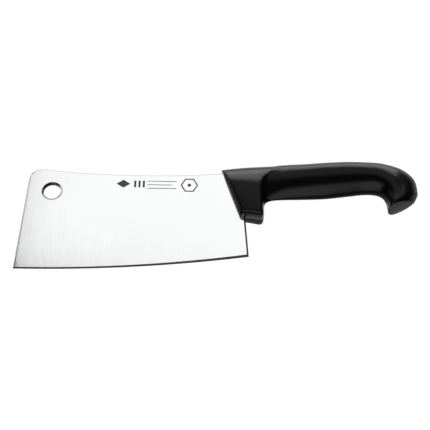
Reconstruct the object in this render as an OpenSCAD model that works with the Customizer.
// Meat cleaver: a flat ground blade whose hidden tang is held in a handle moulded over it.
// It lies on its side. X runs from the toe to the pommel, Y from the cutting edge up to
// the spine and Z out of the flank. Millimetres. The origin is the middle of the outline
// seen from above, on the surface the handle rests on.

/* [Blade] */
// Stock thickness at the spine, also the thickness of the tang
blade_thickness = 3.5; // [3:0.1:5]
// Thickness where the flat grind meets the cutting bevel at the toe
shoulder_thickness = 1; // [0.8:0.1:1.6]
// Angle of each cutting bevel against the middle plane
bevel_angle = 18; // [15:1:25]
// Depth of the broken edge along the front and the heel
edge_break = 0.35; // [0.2:0.05:0.45]
// Diameter of the hole the cleaver hangs by
hanging_hole_diameter = 13.5; // [8:0.5:20]

/* [Tang] */
// Length of the tang behind the heel
tang_length = 88; // [76:1:92]
// Diameter of the holes the handle plastic locks through
keying_hole_diameter = 7; // [4:0.5:9]

/* [Handle] */
// Added to the half thickness of the handle all along it
handle_swell = 0; // [-0.5:0.1:1.5]
// Steps of the surface between two key sections
section_steps = 4; // [2:1:5]
// Steps around each rounded corner of a section
corner_steps = 7; // [3:1:8]

/* [Hidden] */

// The outline is drawn from a zero just in front of the heel corner of the cutting edge.
outline_middle = [-23.1, 37];
handle_half = 10.6;

// Large arcs of the outline: middle and radius
belly_middle = [-176, 1100];
belly_radius = norm(belly_middle);
spine_middle = [-88, 792];
spine_radius = 720;

// The front edge leans back and the heel leans forward as they rise.
toe_x = -178.8;
front_lean = 0.054;
heel_x = 0.6;
heel_lean = -0.09;
front_corner_radius = 10;
front_corner_top = 76.2;
belly_y = belly_middle.y - belly_radius;
edge_land = 0.08;
hanging_hole = [-155.5, 55.6];
hole_rim_width = 1.5;
hole_rim_depth = 0.2;

// Half thickness of the flat ground blade at a height of the outline
grind_slope = (blade_thickness - shoulder_thickness) / 2 / (front_corner_top - belly_y);
function ground_half(y) = shoulder_thickness / 2 + grind_slope * (y - belly_y);

// Key sections of the handle from the blade to the end of the pommel. Each row holds the
// low point, the high point, the half thickness, the roundness of the low and the high
// corners, and the bow that bends the section towards the blade between its ends. The
// sections stand on the middle plane and fan out around the curves of the handle.
key_sections = [
    // slanted face against the blade, and the block behind it
    [ -6.0, 35.0, -22.0, 78.5,  6.9,  2.5, 18,  0],
    [ -5.3, 34.9, -21.1, 78.7,  8.3,  2.8, 19,  0],
    [ -3.6, 34.8, -19.0, 79.1,  9.1,  3.0, 20,  0],
    [  2.4, 34.2,  -9.8, 80.5,  9.7,  3.0, 22,  0],
    [  8.2, 33.3,   0.0, 81.6, 10.0,  3.0, 24,  0],
    // finger guard and the step down to the neck of the grip
    [ 10.3, 33.6,   8.0, 82.2,  9.6,  3.0, 24,  4],
    [ 11.7, 35.4,  14.5, 82.7,  8.8,  4.0, 21, 15],
    [ 12.1, 40.0,  20.0, 83.2,  7.6, 12.0, 17, 21],
    [ 12.1, 45.2,  24.0, 83.7,  6.9, 22.0, 13, 21],
    [ 13.6, 48.9,  27.0, 84.1,  6.8, 24.0, 12, 17],
    [ 18.0, 51.0,  30.5, 84.4,  7.3, 22.0, 12, 10],
    // grip
    [ 26.0, 52.0,  34.5, 84.8,  8.5, 19.0, 12,  4],
    [ 41.5, 52.7,  44.0, 85.3,  9.8, 18.0, 12,  0],
    [ 59.7, 53.8,  60.7, 86.9, 10.6, 18.0, 12,  0],
    [ 77.7, 56.4,  78.7, 88.2, 10.4, 17.0, 12,  0],
    [ 90.7, 58.3,  92.7, 88.2, 10.0, 15.5, 12,  0],
    // pommel hook, turned down to its flat end
    [100.0, 58.1, 106.9, 87.2, 10.1, 14.0, 13,  0],
    [105.4, 55.6, 121.8, 82.4, 10.0, 11.0, 18,  0],
    [108.1, 50.8, 131.2, 73.2,  9.6,  9.0, 21,  0],
    [109.5, 45.8, 133.5, 60.8, 10.4,  7.0, 20,  0],
    [109.9, 45.1, 132.3, 55.6, 10.4,  6.0, 18,  0],
    [110.0, 44.5, 129.9, 51.0,  9.8,  5.0, 15,  0]
];

// Smooth curve through the key sections
function key(i) = let (last = len(key_sections) - 1)
    i < 0 ? 2 * key_sections[0] - key_sections[1]
    : i > last ? 2 * key_sections[last] - key_sections[last - 1]
    : key_sections[i];

function between(i, t) = 0.5 * (2 * key(i) + (key(i + 1) - key(i - 1)) * t
    + (2 * key(i - 1) - 5 * key(i) + 4 * key(i + 1) - key(i + 2)) * t * t
    + (3 * key(i) - key(i - 1) - 3 * key(i + 1) + key(i + 2)) * t * t * t);

// How fast the rounded corners of a section fall away from the flank: 1 is an ellipse
corner_fall = 1.5;

// One side of a section, from the bottom over the flank to the top, as [height, half width]
function half_section(height, half, low_round, high_round) =
    let (fit = min(1, (height - 1) / (low_round + high_round)),
         low = low_round * fit, high = high_round * fit,
         low_in = min(half - 0.5, low), high_in = min(half - 0.5, high))
    [for (j = [0 : 2 * corner_steps + 1])
        let (a = 90 * (j <= corner_steps ? j : j - corner_steps - 1) / corner_steps)
        j <= corner_steps
        ? [low - low * cos(a), half - low_in + low_in * pow(sin(a), corner_fall)]
        : [height - high + high * sin(a), half - high_in + high_in * pow(cos(a), corner_fall)]];

// A whole section as a ring of points in space
function section_ring(s) =
    let (low = [s[0], s[1]], high = [s[2], s[3]], height = norm(high - low),
         up = (high - low) / height, out = [up.y, -up.x],
         side = half_section(height, s[4] + handle_swell, s[5], s[6]), n = len(side))
    [for (j = [0 : 2 * n - 1])
        let (q = j < n ? side[j] : side[2 * n - 1 - j], t = q[0] / height,
             p = low + up * q[0] - out * s[7] * t * (1 - t))
        [p.x, p.y, j < n ? q[1] : -q[1]]];

// Solid between the first and the last section
module handle_body() {
    last = len(key_sections) - 1;
    sections = concat(
        [for (i = [0 : last - 1], j = [0 : section_steps - 1]) between(i, j / section_steps)],
        [key_sections[last]]);
    rings = [for (s = sections) section_ring(s)];
    n = len(rings[0]);
    m = len(rings);
    points = [for (ring = rings) each ring];
    sides = [for (i = [0 : m - 2], j = [0 : n - 1])
        let (a = i * n + j, b = i * n + (j + 1) % n)
        each [[a, b, a + n], [b, b + n, a + n]]];
    // both ends are closed by bands across the middle plane
    ends = [for (e = [0, 1], j = [0 : n / 2 - 2])
        let (k = e * (m - 1) * n, a = k + j, b = k + j + 1, c = k + n - 2 - j, d = k + n - 1 - j)
        each e == 0 ? [[b, a, d], [b, d, c]] : [[a, b, d], [b, c, d]]];
    polyhedron(points, concat(sides, ends), convexity = 6);
}

// Outline of the blade before the spine and the cutting edge are shaped
module blade_outline() {
    lean = atan(front_lean);
    corner = [toe_x + front_lean * (front_corner_top - front_corner_radius)
                  + front_corner_radius / cos(lean),
              front_corner_top - front_corner_radius];
    polygon(concat(
        [[toe_x + front_lean * -30, -30]],
        [for (i = [0 : 12]) let (a = 180 - lean - (90 - lean) * i / 12)
            corner + front_corner_radius * [cos(a), sin(a)]],
        [[-14, front_corner_top], [-2, 68],
         [heel_x + heel_lean * 44, 44], [heel_x + heel_lean * -30, -30]]));
}

// Space between the two flat ground faces
module flat_grind() {
    top = 90;
    bottom = -30;
    translate([-190, 0, 0]) rotate([90, 0, 90]) linear_extrude(200)
        polygon([[bottom, -ground_half(bottom)], [top, -ground_half(top)],
                 [top, ground_half(top)], [bottom, ground_half(bottom)]]);
}

// Everything inside the belly arc and between its two cutting bevels
module cutting_bevels() {
    depth = 120;
    half = edge_land + depth * tan(bevel_angle);
    translate(belly_middle) rotate_extrude($fn = 720)
        polygon([[belly_radius - depth, -half], [belly_radius, -edge_land],
                 [belly_radius, edge_land], [belly_radius - depth, half]]);
}

// Material taken off above the spine, with its broken edges
module spine_cut() {
    land = blade_thickness / 2 - edge_break;
    translate(spine_middle) rotate_extrude($fn = 720)
        polygon([[spine_radius - 30, -land - 2], [spine_radius + 2, -land - 2],
                 [spine_radius, -land], [spine_radius, land],
                 [spine_radius + 2, land + 2], [spine_radius - 30, land + 2]]);
}

// Bars that break both corners of a straight edge through a point at a lean
module edge_breaks(x, lean) {
    for (side = [0, 1]) mirror([0, 0, side])
        translate([x, 0, ground_half(0)])
            rotate([atan(grind_slope), 0, -atan(lean)]) rotate([0, 45, 0])
                cube([edge_break * sqrt(2), 200, edge_break * sqrt(2)], center = true);
}

// Straight hole with a shallow sunk rim around each mouth
module hanging_hole_cut() {
    radius = hanging_hole_diameter / 2;
    half = ground_half(hanging_hole.y);
    translate(hanging_hole) {
        cylinder(h = 10, r = radius, center = true, $fn = 120);
        for (side = [0, 1]) mirror([0, 0, side]) translate([0, 0, half - hole_rim_depth])
            cylinder(h = 2 * hole_rim_depth, r1 = radius, r2 = radius + 2 * hole_rim_width, $fn = 120);
    }
}

// Tang at full stock thickness, with the holes the handle plastic locks through
module tang() {
    difference() {
        linear_extrude(blade_thickness, center = true)
            polygon([[-14, 73.5], [2, 75], [tang_length - 4, 80], [tang_length, 77],
                     [tang_length, 69], [tang_length - 4, 66], [22, 60], [8, 50], [-3, 46]]);
        for (i = [0 : 2]) translate([20, 68] + i * [24, 2])
            cylinder(h = 10, d = keying_hole_diameter, center = true, $fn = 60);
    }
}

module steel() {
    difference() {
        intersection() {
            linear_extrude(20, center = true) blade_outline();
            flat_grind();
            cutting_bevels();
        }
        spine_cut();
        edge_breaks(toe_x, front_lean);
        edge_breaks(heel_x, heel_lean);
        hanging_hole_cut();
    }
    tang();
}

// Moves the drawing from its own zero to the origin of the part
module place() {
    translate([-outline_middle.x, -outline_middle.y, handle_half + handle_swell]) children();
}

module blade() {
    color("silver") place() steel();
}

module handle() {
    color("dimgray") place() difference() {
        handle_body();
        steel();
    }
}

blade();
handle();
